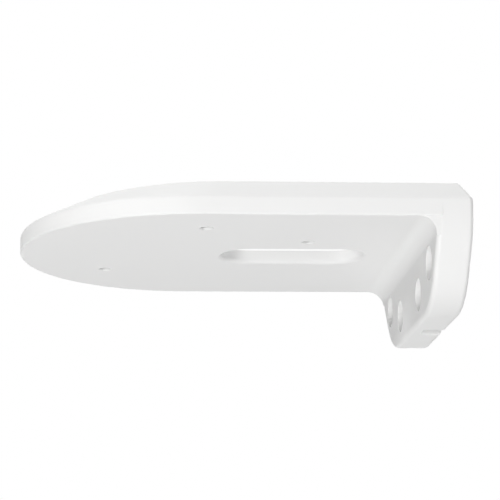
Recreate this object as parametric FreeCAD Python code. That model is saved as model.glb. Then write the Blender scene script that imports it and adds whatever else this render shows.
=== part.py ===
"""Camera bracket: a flat arm with a round nose and a short leg that screws to the wall.

The bracket is one metal casting. Its arm carries a small dome camera on the underside and is a
shallow open tray on top, where the cable lies. The leg turns down at the wall end and is hollow
towards the wall, so that the cable can run from the wall, or up from below, into the tray.

Frame: the origin lies on the wall plane, midway between the two outer wall screws. +Y points into
the wall, so the nose points along -Y. +Z is up and +X is to the right for someone at the nose.
All sizes are in millimetres.
"""

import FreeCAD, Part
import math
import os

# Arm, seen from above
arm_width = 100.0
arm_length = 124.0          # wall plane to the tip of the nose
nose_radius = arm_width / 2

# Arm, seen from the side
arm_thick = 10.1
band_height = 5.05          # upright edge below the bevel
bevel_run = 3.5             # how far the bevel leans in, along the sides
wall_bevel_run = 3.0        # the same at the wall end
nose_lean = 8.0             # how much further back the top outline's nose is centred
floor_thick = 3.9
land_width = 2.0            # flat top of the rim

# Leg
leg_thick = 10.1
leg_drop = 22.7             # underside of the arm to the bottom of the leg
leg_turn = 38.9             # degrees that the leg's sides lean in from upright
leg_shoulder_radius = 19.8
leg_corner_radius = 21.7
leg_shoulder_rise = 4.4     # the shoulder starts this far above the underside
leg_skin = 3.4
leg_rim = 4.2
inner_corner_radius = 4.8

# Wall screws
outer_screw_inset = 15.7    # in from the arm's side
outer_screw_drop = 9.6      # below the underside of the arm
inner_screw_spacing = 32.0
inner_screw_rise = 8.1      # above the bottom of the leg
screw_hole_dia = 5.2
head_recess_dia = 9.6
head_recess_depth = 4.5
screw_boss_dia = 14.0

# Cable way
slot_length = 41.8
slot_width = 17.6
slot_centre = 44.4          # from the wall plane
slot_edge_radius = 1.2
gate_width = 24.0           # opening in the rim between the leg's hollow and the tray
notch_width = 7.6           # opening in the leg's bottom rim
notch_edge_radius = 0.8

# Camera screws: tapped holes on one circle, at some of its steps of 60 degrees
camera_circle_dia = 68.0
camera_circle_setback = 53.5  # from the tip of the nose to the circle's centre
camera_first_angle = 58.0    # degrees from +X towards +Y, seen from above
camera_hole_steps = (0, 3, 5)
camera_hole_dia = 3.3        # tapping size of an M4 thread
camera_hole_bevel = 0.35

# Small radii on the casting
wall_end_radius = 1.3        # corners at the wall end, on the arm and down round the leg
bottom_edge_radius = 0.6
crease_radius = 1.4
top_edge_radius = 0.4
leg_edge_radius = 1.4        # round the leg's inner face
tray_corner_radius = 4.0
tray_foot_bevel = 1.0

# Heights that follow from the sizes above
under_z = outer_screw_drop
top_z = under_z + arm_thick
floor_z = under_z + floor_thick
shoulder_z = under_z + leg_shoulder_rise
bottom_z = under_z - leg_drop
hollow_depth = leg_thick - leg_skin

NODE = "bracket_body"


def vec(x, y, z):
    return FreeCAD.Vector(x, y, z)


def arm_outline(half, nose_y, wall_y, z, corner):
    """Closed outline of the arm at height z: a half-round nose, two sides and the wall end.

    The two corners at the wall end have the given radius.
    """
    s = corner * (1 - math.sqrt(0.5))
    right = Part.Arc(vec(half, wall_y - corner, z), vec(half - s, wall_y - s, z),
                     vec(half - corner, wall_y, z))
    left = Part.Arc(vec(corner - half, wall_y, z), vec(s - half, wall_y - s, z),
                    vec(-half, wall_y - corner, z))
    return Part.Wire([
        Part.Arc(vec(-half, nose_y, z), vec(0, nose_y - half, z), vec(half, nose_y, z)).toShape(),
        Part.LineSegment(vec(half, nose_y, z), vec(half, wall_y - corner, z)).toShape(),
        right.toShape(),
        Part.LineSegment(vec(half - corner, wall_y, z), vec(corner - half, wall_y, z)).toShape(),
        left.toShape(),
        Part.LineSegment(vec(-half, wall_y - corner, z), vec(-half, nose_y, z)).toShape(),
    ])


def edges_where(shape, test):
    """The edges whose every sampled point passes the test."""
    found = []
    for edge in shape.Edges:
        points = edge.discretize(5)
        if all(test(p) for p in points):
            found.append(edge)
    return found


def near(a, b):
    return abs(a - b) < 0.01


def arm_blank():
    """The arm's outer form: an upright band, and above it a bevel that widens round the nose."""
    half = arm_width / 2
    nose_y = -(arm_length - nose_radius)
    band_z = under_z + band_height
    r = wall_end_radius
    low = arm_outline(half, nose_y, 0, under_z, r)
    mid = arm_outline(half, nose_y, 0, band_z, r)
    top = arm_outline(half - bevel_run, nose_y + nose_lean, -wall_bevel_run, top_z, r)
    band = Part.Face(low).extrude(vec(0, 0, band_height))
    bevel = Part.makeLoft([mid, top], True, True)
    blank = band.fuse(bevel).removeSplitter()
    crease = edges_where(blank, lambda p: near(p.z, band_z))
    blank = blank.makeFillet(crease_radius, crease)
    rim = edges_where(blank, lambda p: near(p.z, top_z))
    blank = blank.makeFillet(top_edge_radius, rim)
    foot = edges_where(blank, lambda p: near(p.z, under_z))
    return blank.makeFillet(bottom_edge_radius, foot)


def leg_profile(inset, roof_z, y):
    """Face of the leg at depth y, drawn inside the real outline by the inset.

    Each side comes down upright, turns in round the shoulder, runs straight and turns again
    round the bottom corner into the flat bottom edge.
    """
    turn = math.radians(leg_turn)
    half = arm_width / 2
    shoulder = leg_shoulder_radius - inset
    corner = leg_corner_radius - inset
    start_z = shoulder_z
    low_z = bottom_z + inset
    sx = half - leg_shoulder_radius

    def on_shoulder(angle):
        return vec(sx + shoulder * math.cos(angle), y, start_z - shoulder * math.sin(angle))

    end = on_shoulder(turn)
    cz = low_z + corner
    drop = end.z - (cz - corner * math.sin(turn))
    run = drop / math.cos(turn)
    cx = end.x - run * math.sin(turn) - corner * math.cos(turn)

    def on_corner(angle):
        return vec(cx + corner * math.cos(angle), y, cz - corner * math.sin(angle))

    # A hollow's roof can lie below the start of the shoulder
    first = 0.0
    if roof_z < start_z:
        first = math.asin((start_z - roof_z) / shoulder)
    arc_start = on_shoulder(first)
    right = []
    if roof_z > start_z:
        right.append(Part.LineSegment(vec(half - inset, y, roof_z), arc_start).toShape())
    right.append(Part.Arc(arc_start, on_shoulder((first + turn) / 2), end).toShape())
    right.append(Part.LineSegment(end, on_corner(turn)).toShape())
    middle = (turn + math.pi / 2) / 2
    right.append(Part.Arc(on_corner(turn), on_corner(middle), on_corner(math.pi / 2)).toShape())
    left = [edge.mirror(vec(0, 0, 0), vec(1, 0, 0)) for edge in right]
    flat = Part.LineSegment(vec(cx, y, low_z), vec(-cx, y, low_z)).toShape()
    roof_x = right[0].Vertexes[0].Point.x
    roof = Part.LineSegment(vec(-roof_x, y, roof_z), vec(roof_x, y, roof_z)).toShape()
    edges = Part.sortEdges(right + [flat] + left + [roof])[0]
    return Part.Face(Part.Wire(edges))


def leg_blank():
    """The leg's outer form, with soft edges round its inner face and at the wall."""
    leg = leg_profile(0, shoulder_z, -leg_thick).extrude(vec(0, leg_thick, 0))
    front = edges_where(leg, lambda p: near(p.y, -leg_thick))
    front = [edge for edge in front if edge.CenterOfMass.z < shoulder_z - 0.01]
    leg = leg.makeFillet(leg_edge_radius, front)
    back = edges_where(leg, lambda p: near(p.y, 0))
    back = [edge for edge in back if edge.CenterOfMass.z < shoulder_z - 0.01]
    return leg.makeFillet(wall_end_radius, back)


def leg_seat():
    """The room that the leg takes in the arm's wall end, up to where its shoulders start."""
    room = Part.makeBox(2 * arm_width, arm_width, shoulder_z)
    room.translate(vec(-arm_width, -leg_thick + leg_edge_radius, 0))
    return room


def inner_corner():
    """The hollow-round fillet between the arm's underside and the leg."""
    r = inner_corner_radius
    y = -leg_thick
    z = under_z
    deep = 1.0
    s = r * (1 - math.sqrt(0.5))
    arc = Part.Arc(vec(0, y - r, z), vec(0, y - s, z - s), vec(0, y, z - r))
    section = Part.Wire([
        arc.toShape(),
        Part.LineSegment(vec(0, y, z - r), vec(0, y + deep, z - r)).toShape(),
        Part.LineSegment(vec(0, y + deep, z - r), vec(0, y + deep, z + deep)).toShape(),
        Part.LineSegment(vec(0, y + deep, z + deep), vec(0, y - r, z + deep)).toShape(),
        Part.LineSegment(vec(0, y - r, z + deep), vec(0, y - r, z)).toShape(),
    ])
    bar = Part.Face(section).extrude(vec(arm_width, 0, 0))
    bar.translate(vec(-arm_width / 2, 0, 0))
    # The fillet's ends follow the leg's shoulders
    reach = leg_profile(0, shoulder_z + 0.1, -leg_thick - r)
    return bar.common(reach.extrude(vec(0, r + leg_thick, 0)))


def tray_tool():
    """The hollow on top of the arm, open upwards."""
    half = arm_width / 2 - bevel_run - land_width
    nose_y = -(arm_length - nose_radius) + nose_lean
    wall_y = -wall_bevel_run - land_width
    outline = arm_outline(half, nose_y, wall_y, floor_z, tray_corner_radius)
    tool = Part.Face(outline).extrude(vec(0, 0, arm_thick))
    foot = edges_where(tool, lambda p: near(p.z, floor_z))
    return tool.makeChamfer(tray_foot_bevel, foot)


def notch_tool():
    """The notch through the leg's bottom rim, its mouth rounded over at both sides."""
    r = notch_edge_radius
    s = r * (1 - math.sqrt(0.5))
    half = notch_width / 2
    y = -hollow_depth
    top = bottom_z + leg_rim + 1.0
    low = bottom_z - 1.0
    mouth = Part.Arc(vec(half, y, bottom_z + r), vec(half + s, y, bottom_z + s),
                     vec(half + r, y, bottom_z)).toShape()
    wall = Part.LineSegment(vec(half, y, top), vec(half, y, bottom_z + r)).toShape()
    lip = Part.LineSegment(vec(half + r, y, bottom_z), vec(half + r, y, low)).toShape()
    right = [wall, mouth, lip]
    left = [edge.mirror(vec(0, 0, 0), vec(1, 0, 0)) for edge in right]
    roof = Part.LineSegment(vec(-half, y, top), vec(half, y, top)).toShape()
    foot = Part.LineSegment(vec(-half - r, y, low), vec(half + r, y, low)).toShape()
    section = Part.Wire(Part.sortEdges(right + left + [roof, foot])[0])
    return Part.Face(section).extrude(vec(0, hollow_depth + 1.0, 0))


def leg_hollow_tool():
    """The hollow behind the leg, open to the wall, with the gate up into the tray and the notch."""
    over = 1.0
    face = leg_profile(leg_rim, under_z, -hollow_depth)
    hollow = face.extrude(vec(0, hollow_depth + over, 0))
    gate = Part.makeBox(gate_width, hollow_depth + over, arm_thick + leg_rim + over)
    gate.translate(vec(-gate_width / 2, -hollow_depth, under_z - leg_rim))
    return hollow.fuse([gate, notch_tool()])


def wall_screw_places():
    """The four wall screws as (x, z)."""
    outer_x = arm_width / 2 - outer_screw_inset
    inner_x = inner_screw_spacing / 2
    low = bottom_z + inner_screw_rise
    return [(outer_x, 0), (-outer_x, 0), (inner_x, low), (-inner_x, low)]


def wall_bosses(leg):
    """A round boss behind each screw head, from the leg's skin back to the wall plane.

    Each is trimmed by the leg's outer form, so that none stands proud of its soft edges.
    """
    y = -leg_thick + leg_edge_radius
    length = leg_thick - leg_edge_radius
    r = screw_boss_dia / 2
    bosses = []
    for x, z in wall_screw_places():
        boss = Part.makeCylinder(r, length, vec(x, y, z), vec(0, 1, 0))
        bosses.append(boss.common(leg))
    return bosses


def wall_screw_tools():
    """Each wall screw's hole, with a flat-bottomed recess for its head."""
    over = 1.0
    tools = []
    for x, z in wall_screw_places():
        front = -leg_thick - over
        recess = Part.makeCylinder(head_recess_dia / 2, head_recess_depth + over,
                                   vec(x, front, z), vec(0, 1, 0))
        hole = Part.makeCylinder(screw_hole_dia / 2, leg_thick + 2 * over,
                                 vec(x, front, z), vec(0, 1, 0))
        tools.append(recess.fuse(hole))
    return tools


def slot_tool():
    """The long round-ended cable slot through the arm's floor."""
    r = slot_width / 2
    reach = slot_length / 2 - r
    low = under_z - 1.0
    near_y = -slot_centre + reach
    far_y = -slot_centre - reach
    wire = Part.Wire([
        Part.LineSegment(vec(r, near_y, low), vec(r, far_y, low)).toShape(),
        Part.Arc(vec(r, far_y, low), vec(0, far_y - r, low), vec(-r, far_y, low)).toShape(),
        Part.LineSegment(vec(-r, far_y, low), vec(-r, near_y, low)).toShape(),
        Part.Arc(vec(-r, near_y, low), vec(0, near_y + r, low), vec(r, near_y, low)).toShape(),
    ])
    return Part.Face(wire).extrude(vec(0, 0, floor_thick + 2.0))


def camera_screw_tools():
    """The tapped holes for the camera's base, each with a small bevel at its mouth."""
    tools = []
    r = camera_hole_dia / 2
    centre_y = camera_circle_setback - arm_length
    for step in camera_hole_steps:
        angle = math.radians(camera_first_angle + 60 * step)
        x = camera_circle_dia / 2 * math.cos(angle)
        y = centre_y + camera_circle_dia / 2 * math.sin(angle)
        hole = Part.makeCylinder(r, floor_thick + 2.0, vec(x, y, under_z - 1.0))
        mouth = Part.makeCone(r + camera_hole_bevel, r, camera_hole_bevel, vec(x, y, under_z))
        tools.append(hole.fuse(mouth))
    return tools


def bracket_body():
    """The whole casting."""
    leg = leg_blank()
    shell = arm_blank().cut(leg_seat()).fuse([leg, inner_corner()])
    shell = shell.cut(tray_tool())
    shell = shell.cut(leg_hollow_tool())
    shell = shell.fuse(wall_bosses(leg))
    shell = shell.cut(slot_tool())
    shell = shell.removeSplitter()
    half = slot_width / 2
    mouth = edges_where(
        shell,
        lambda p: near(p.z, under_z) and abs(p.x) < half + 0.01
        and abs(p.y + slot_centre) < slot_length / 2 + 0.01)
    shell = shell.makeFillet(slot_edge_radius, mouth)
    for tool in wall_screw_tools() + camera_screw_tools():
        shell = shell.cut(tool)
    return shell.removeSplitter()


def main():
    os.makedirs("parts", exist_ok=True)
    body = bracket_body()
    if len(body.Solids) != 1 or not body.isValid():
        raise RuntimeError("the casting isn't one sound solid")
    solid = body.Solids[0]
    solid.exportStep(os.path.join("parts", NODE + ".step"))
    box = solid.optimalBoundingBox(False)
    print(NODE, "volume", round(solid.Volume, 1), "faces", len(solid.Faces))
    print("size %.2f x %.2f x %.2f" % (box.XLength, box.YLength, box.ZLength))


main()
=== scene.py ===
"""Camera bracket: the white painted casting, its studio and the camera.

The casting's form comes from model.glb. This file gives it its paint, and sets the floor, the
lights and the camera. Lengths are in metres, angles in degrees and powers in watts.
"""

import math

import bpy
import numpy as np
from bpy.props import FloatProperty, FloatVectorProperty, PointerProperty
from mathutils import Matrix, Vector


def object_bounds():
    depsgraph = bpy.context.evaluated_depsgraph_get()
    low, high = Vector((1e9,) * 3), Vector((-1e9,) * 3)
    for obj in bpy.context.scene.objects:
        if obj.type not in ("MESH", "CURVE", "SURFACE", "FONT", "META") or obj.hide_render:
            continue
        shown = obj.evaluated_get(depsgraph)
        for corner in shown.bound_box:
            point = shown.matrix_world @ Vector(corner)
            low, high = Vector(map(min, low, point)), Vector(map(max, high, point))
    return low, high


bl_info = {
    "name": "Camera bracket",
    "version": (1, 0, 0),
    "blender": (4, 2, 0),
    "location": "View3D > Sidebar > Camera bracket",
    "description": "White painted wall bracket for a small dome camera",
    "category": "Object",
}

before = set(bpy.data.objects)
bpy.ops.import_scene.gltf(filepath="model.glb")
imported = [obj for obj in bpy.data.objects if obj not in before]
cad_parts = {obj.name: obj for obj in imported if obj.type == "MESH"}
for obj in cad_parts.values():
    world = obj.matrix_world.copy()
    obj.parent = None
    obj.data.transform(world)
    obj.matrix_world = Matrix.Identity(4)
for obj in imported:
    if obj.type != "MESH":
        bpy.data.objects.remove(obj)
cad_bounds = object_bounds()

WHITE = (1.0, 1.0, 1.0, 1.0)

# The paint mirrors a little less than bare plastic, and its dimples are soft.
PAINT_SPECULAR = 0.3
GRAIN_DETAIL = 2.0
GRAIN_STRENGTH = 0.6

FLOOR_COLOUR = (0.85, 0.85, 0.85, 1.0)
FLOOR_ROUGHNESS = 0.9
FLOOR_HALF_SIDE = 40.0

# Each lamp's name, azimuth, elevation and width. Azimuth 0 is the camera's side and 90 the
# wall's. The setting of the same name gives the lamp's power.
LAMPS = (
    ("low", -25.0, -50.0, 0.5),
    ("level", -8.0, 5.0, 0.5),
    ("back", 180.0, -33.0, 0.5),
    ("nose", -65.0, 50.0, 0.5),
    ("wall", 35.0, 35.0, 0.5),
    ("fill", 126.0, 20.0, 0.6),
    ("over", 0.0, 88.0, 0.7),
)
LAMP_DISTANCE = 0.9

CAMERA_PLACE = (0.5251, -0.1016, -0.1129)
CAMERA_YAW = 4.87
CAMERA_PITCH = 13.29
CAMERA_ROLL = -0.78
CAMERA_SENSOR_MM = 36.0
CAMERA_CLIP = (0.05, 100.0)


class PaintSettings(bpy.types.PropertyGroup):
    """The white powder coat."""

    colour: FloatVectorProperty(
        name="Paint colour", description="Colour of the powder coat", subtype="COLOR",
        size=3, min=0.0, max=1.0, default=(0.82, 0.82, 0.815))
    gloss_roughness: FloatProperty(
        name="Roughness", description="How matt the powder coat is", subtype="FACTOR",
        min=0.0, max=1.0, default=0.5)
    grain_size: FloatProperty(
        name="Grain size", description="Width of one dimple of the coat", unit="LENGTH",
        min=0.0001, max=0.005, default=0.0006, precision=5)
    grain_depth: FloatProperty(
        name="Grain depth", description="Depth of the dimples", unit="LENGTH",
        min=0.0, max=0.0005, default=0.000012, precision=6)


class StudioSettings(bpy.types.PropertyGroup):
    """The studio round the bracket."""

    ambient: FloatProperty(
        name="Ambient", description="Light that comes evenly from all round",
        min=0.0, max=2.0, default=0.2)
    low_watts: FloatProperty(
        name="Low lamp", description="Power of the main lamp, low beside the camera",
        unit="POWER", min=0.0, max=50.0, default=5.3)
    level_watts: FloatProperty(
        name="Level lamp", description="Power of the lamp at the bracket's height",
        unit="POWER", min=0.0, max=50.0, default=2.8)
    back_watts: FloatProperty(
        name="Back lamp", description="Power of the low lamp on the far side",
        unit="POWER", min=0.0, max=50.0, default=0.6)
    nose_watts: FloatProperty(
        name="Nose lamp", description="Power of the high lamp on the nose's side",
        unit="POWER", min=0.0, max=50.0, default=3.2)
    wall_watts: FloatProperty(
        name="Wall lamp", description="Power of the high lamp on the wall's side",
        unit="POWER", min=0.0, max=50.0, default=0.5)
    fill_watts: FloatProperty(
        name="Fill lamp", description="Power of the lamp behind the wall's side",
        unit="POWER", min=0.0, max=50.0, default=5.0)
    over_watts: FloatProperty(
        name="Over lamp", description="Power of the wide lamp straight above",
        unit="POWER", min=0.0, max=50.0, default=2.3)
    floor_drop: FloatProperty(
        name="Floor drop", description="How far the floor lies below the bracket",
        unit="LENGTH", min=0.8, max=5.0, default=1.2)
    floor_paleness: FloatProperty(
        name="Floor paleness", description="How much paler the floor looks to the camera",
        subtype="FACTOR", min=0.0, max=1.0, default=0.45)
    fade_start: FloatProperty(
        name="Fade start", description="Distance at which the floor begins to fade to white",
        unit="LENGTH", min=0.5, max=20.0, default=1.6)
    fade_end: FloatProperty(
        name="Fade end", description="Distance at which the floor is as white as the background",
        unit="LENGTH", min=1.0, max=40.0, default=7.0)
    focal_length: FloatProperty(
        name="Focal length", description="Camera lens in millimetres, on a 36 mm sensor",
        unit="CAMERA", min=20.0, max=400.0, default=132.4)


def principled(name):
    """A new material, its main shader and its node tree's nodes and links."""
    material = bpy.data.materials.new(name)
    material.use_nodes = True
    nodes, links = material.node_tree.nodes, material.node_tree.links
    return material, nodes["Principled BSDF"], nodes, links


def powder_coat(settings):
    """White powder coat: an even colour, with fine soft dimples as sprayed powder leaves."""
    material, shader, nodes, links = principled("white_powder_coat")
    shader.inputs["Base Color"].default_value = (*settings.colour, 1.0)
    shader.inputs["Roughness"].default_value = settings.gloss_roughness
    shader.inputs["Specular IOR Level"].default_value = PAINT_SPECULAR
    place = nodes.new("ShaderNodeTexCoord")
    grain = nodes.new("ShaderNodeTexNoise")
    grain.inputs["Scale"].default_value = 1.0 / settings.grain_size
    grain.inputs["Detail"].default_value = GRAIN_DETAIL
    bump = nodes.new("ShaderNodeBump")
    bump.inputs["Distance"].default_value = settings.grain_depth
    bump.inputs["Strength"].default_value = GRAIN_STRENGTH
    links.new(place.outputs["Object"], grain.inputs["Vector"])
    links.new(grain.outputs["Fac"], bump.inputs["Height"])
    links.new(bump.outputs["Normal"], shader.inputs["Normal"])
    return material


class BRACKET_OT_casting(bpy.types.Operator):
    """Paints the casting white"""

    bl_idname = "bracket.casting"
    bl_label = "Paint the casting"

    def execute(self, context):
        paint = powder_coat(context.scene.bracket_paint)
        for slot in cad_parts["bracket_body"].material_slots:
            slot.material = paint
        return {"FINISHED"}


def seen_rays(nodes, links):
    """1 for what the camera sees straight, mirrored or through glass, and 0 for other light."""
    path = nodes.new("ShaderNodeLightPath")
    seen = path.outputs["Is Camera Ray"]
    for ray in ("Is Glossy Ray", "Is Transmission Ray"):
        either = nodes.new("ShaderNodeMath")
        either.operation = "MAXIMUM"
        links.new(seen, either.inputs[0])
        links.new(path.outputs[ray], either.inputs[1])
        seen = either.outputs["Value"]
    return seen


def floor_material(settings):
    """A plain matt floor that looks paler to the camera than its light makes it.

    The paleness grows smoothly with the distance from the bracket, up to the white of the
    background, so that the floor has no edge against it.
    """
    material, shader, nodes, links = principled("pale_floor")
    shader.inputs["Base Color"].default_value = FLOOR_COLOUR
    shader.inputs["Roughness"].default_value = FLOOR_ROUGHNESS
    shader.inputs["Emission Color"].default_value = WHITE
    place = nodes.new("ShaderNodeTexCoord")
    distance = nodes.new("ShaderNodeVectorMath")
    distance.operation = "LENGTH"
    fade = nodes.new("ShaderNodeMapRange")
    fade.interpolation_type = "SMOOTHSTEP"
    fade.inputs["From Min"].default_value = settings.fade_start
    fade.inputs["From Max"].default_value = settings.fade_end
    fade.inputs["To Min"].default_value = settings.floor_paleness
    fade.inputs["To Max"].default_value = 1.0
    glow = nodes.new("ShaderNodeMath")
    glow.operation = "MULTIPLY"
    links.new(place.outputs["Object"], distance.inputs[0])
    links.new(distance.outputs["Value"], fade.inputs["Value"])
    links.new(seen_rays(nodes, links), glow.inputs[0])
    links.new(fade.outputs["Result"], glow.inputs[1])
    links.new(glow.outputs["Value"], shader.inputs["Emission Strength"])
    return material


def level_square(name, half_side, height):
    """A level square: x and y each take the values -half_side and half_side, z is the height."""
    x, y = np.meshgrid((-half_side, half_side), (-half_side, half_side))
    corners = np.stack((x, y, np.full(x.shape, height)), axis=-1).reshape(-1, 3)
    mesh = bpy.data.meshes.new(name)
    mesh.from_pydata(corners.tolist(), [], [(0, 1, 3, 2)])
    return bpy.data.objects.new(name, mesh)


def area_lamp(name, azimuth, elevation, width, watts):
    """A square soft lamp that faces the bracket's middle from the given direction."""
    level = math.cos(math.radians(elevation))
    away = Vector((level * math.cos(math.radians(azimuth)),
                   level * math.sin(math.radians(azimuth)), math.sin(math.radians(elevation))))
    middle = (Vector(cad_bounds[0]) + Vector(cad_bounds[1])) / 2
    data = bpy.data.lights.new(name, "AREA")
    data.shape = "SQUARE"
    data.size = width
    data.energy = watts
    lamp = bpy.data.objects.new(name, data)
    lamp.visible_camera = False
    lamp.location = middle + LAMP_DISTANCE * away
    lamp.rotation_euler = (-away).to_track_quat("-Z", "Y").to_euler()
    bpy.context.scene.collection.objects.link(lamp)


def backdrop(nodes, strength):
    """A white background shader of the given strength."""
    shader = nodes.new("ShaderNodeBackground")
    shader.inputs["Color"].default_value = WHITE
    shader.inputs["Strength"].default_value = strength
    return shader


def studio_world(ambient):
    """Even soft light all round, and plain white to the camera and in what the gloss mirrors."""
    world = bpy.data.worlds.new("studio")
    bpy.context.scene.world = world
    world.use_nodes = True
    nodes, links = world.node_tree.nodes, world.node_tree.links
    nodes.clear()
    soft = backdrop(nodes, ambient)
    white = backdrop(nodes, 1.0)
    mix = nodes.new("ShaderNodeMixShader")
    out = nodes.new("ShaderNodeOutputWorld")
    links.new(seen_rays(nodes, links), mix.inputs["Fac"])
    links.new(soft.outputs["Background"], mix.inputs[1])
    links.new(white.outputs["Background"], mix.inputs[2])
    links.new(mix.outputs["Shader"], out.inputs["Surface"])


def studio_camera(focal_length):
    """The camera stands below and in front of one side and looks slightly up at the underside.

    Yaw and pitch turn its line of sight away from straight across the bracket, and roll tilts
    the picture about that line.
    """
    yaw, pitch, roll = (math.radians(angle) for angle in (CAMERA_YAW, CAMERA_PITCH, CAMERA_ROLL))
    ahead = Vector((-math.cos(yaw) * math.cos(pitch), math.sin(yaw) * math.cos(pitch),
                    math.sin(pitch)))
    right = Vector((math.sin(yaw), math.cos(yaw), 0.0))
    up = right.cross(ahead)
    tilted_right = math.cos(roll) * right + math.sin(roll) * up
    tilted_up = math.cos(roll) * up - math.sin(roll) * right
    turn = Matrix((tilted_right, tilted_up, -ahead)).transposed()
    data = bpy.data.cameras.new("studio_camera")
    data.lens = focal_length
    data.sensor_width = CAMERA_SENSOR_MM
    data.clip_start, data.clip_end = CAMERA_CLIP
    camera = bpy.data.objects.new("studio_camera", data)
    camera.matrix_world = Matrix.Translation(CAMERA_PLACE) @ turn.to_4x4()
    bpy.context.scene.collection.objects.link(camera)
    bpy.context.scene.camera = camera


class BRACKET_OT_studio(bpy.types.Operator):
    """Sets the floor, the lights and the camera"""

    bl_idname = "bracket.studio"
    bl_label = "Set the studio"

    def execute(self, context):
        settings = context.scene.bracket_studio
        floor = level_square("studio_floor", FLOOR_HALF_SIDE, -settings.floor_drop)
        floor.data.materials.append(floor_material(settings))
        context.scene.collection.objects.link(floor)
        for name, azimuth, elevation, width in LAMPS:
            watts = getattr(settings, name + "_watts")
            area_lamp(name + "_lamp", azimuth, elevation, width, watts)
        studio_world(settings.ambient)
        context.scene.view_settings.view_transform = "Standard"
        studio_camera(settings.focal_length)
        return {"FINISHED"}


class BRACKET_PT_panel(bpy.types.Panel):
    """Lists the bracket's settings and its two steps"""

    bl_idname = "BRACKET_PT_panel"
    bl_label = "Camera bracket"
    bl_space_type = "VIEW_3D"
    bl_region_type = "UI"
    bl_category = "Camera bracket"

    def draw(self, context):
        layout = self.layout
        for group in (context.scene.bracket_paint, context.scene.bracket_studio):
            for name in group.bl_rna.properties.keys():
                if name not in ("rna_type", "name"):
                    layout.prop(group, name)
        layout.operator(BRACKET_OT_casting.bl_idname)
        layout.operator(BRACKET_OT_studio.bl_idname)


classes = (
    PaintSettings,
    StudioSettings,
    BRACKET_OT_casting,
    BRACKET_OT_studio,
    BRACKET_PT_panel,
)


def register():
    """Adds the classes, and the settings to the scene."""
    for item in classes:
        bpy.utils.register_class(item)
    bpy.types.Scene.bracket_paint = PointerProperty(type=PaintSettings)
    bpy.types.Scene.bracket_studio = PointerProperty(type=StudioSettings)


def unregister():
    """Takes away what register added, in the opposite order."""
    del bpy.types.Scene.bracket_studio
    del bpy.types.Scene.bracket_paint
    for item in reversed(classes):
        bpy.utils.unregister_class(item)


def main():
    """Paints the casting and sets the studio."""
    register()
    bpy.ops.bracket.casting()
    bpy.ops.bracket.studio()


if __name__ == "__main__":
    main()
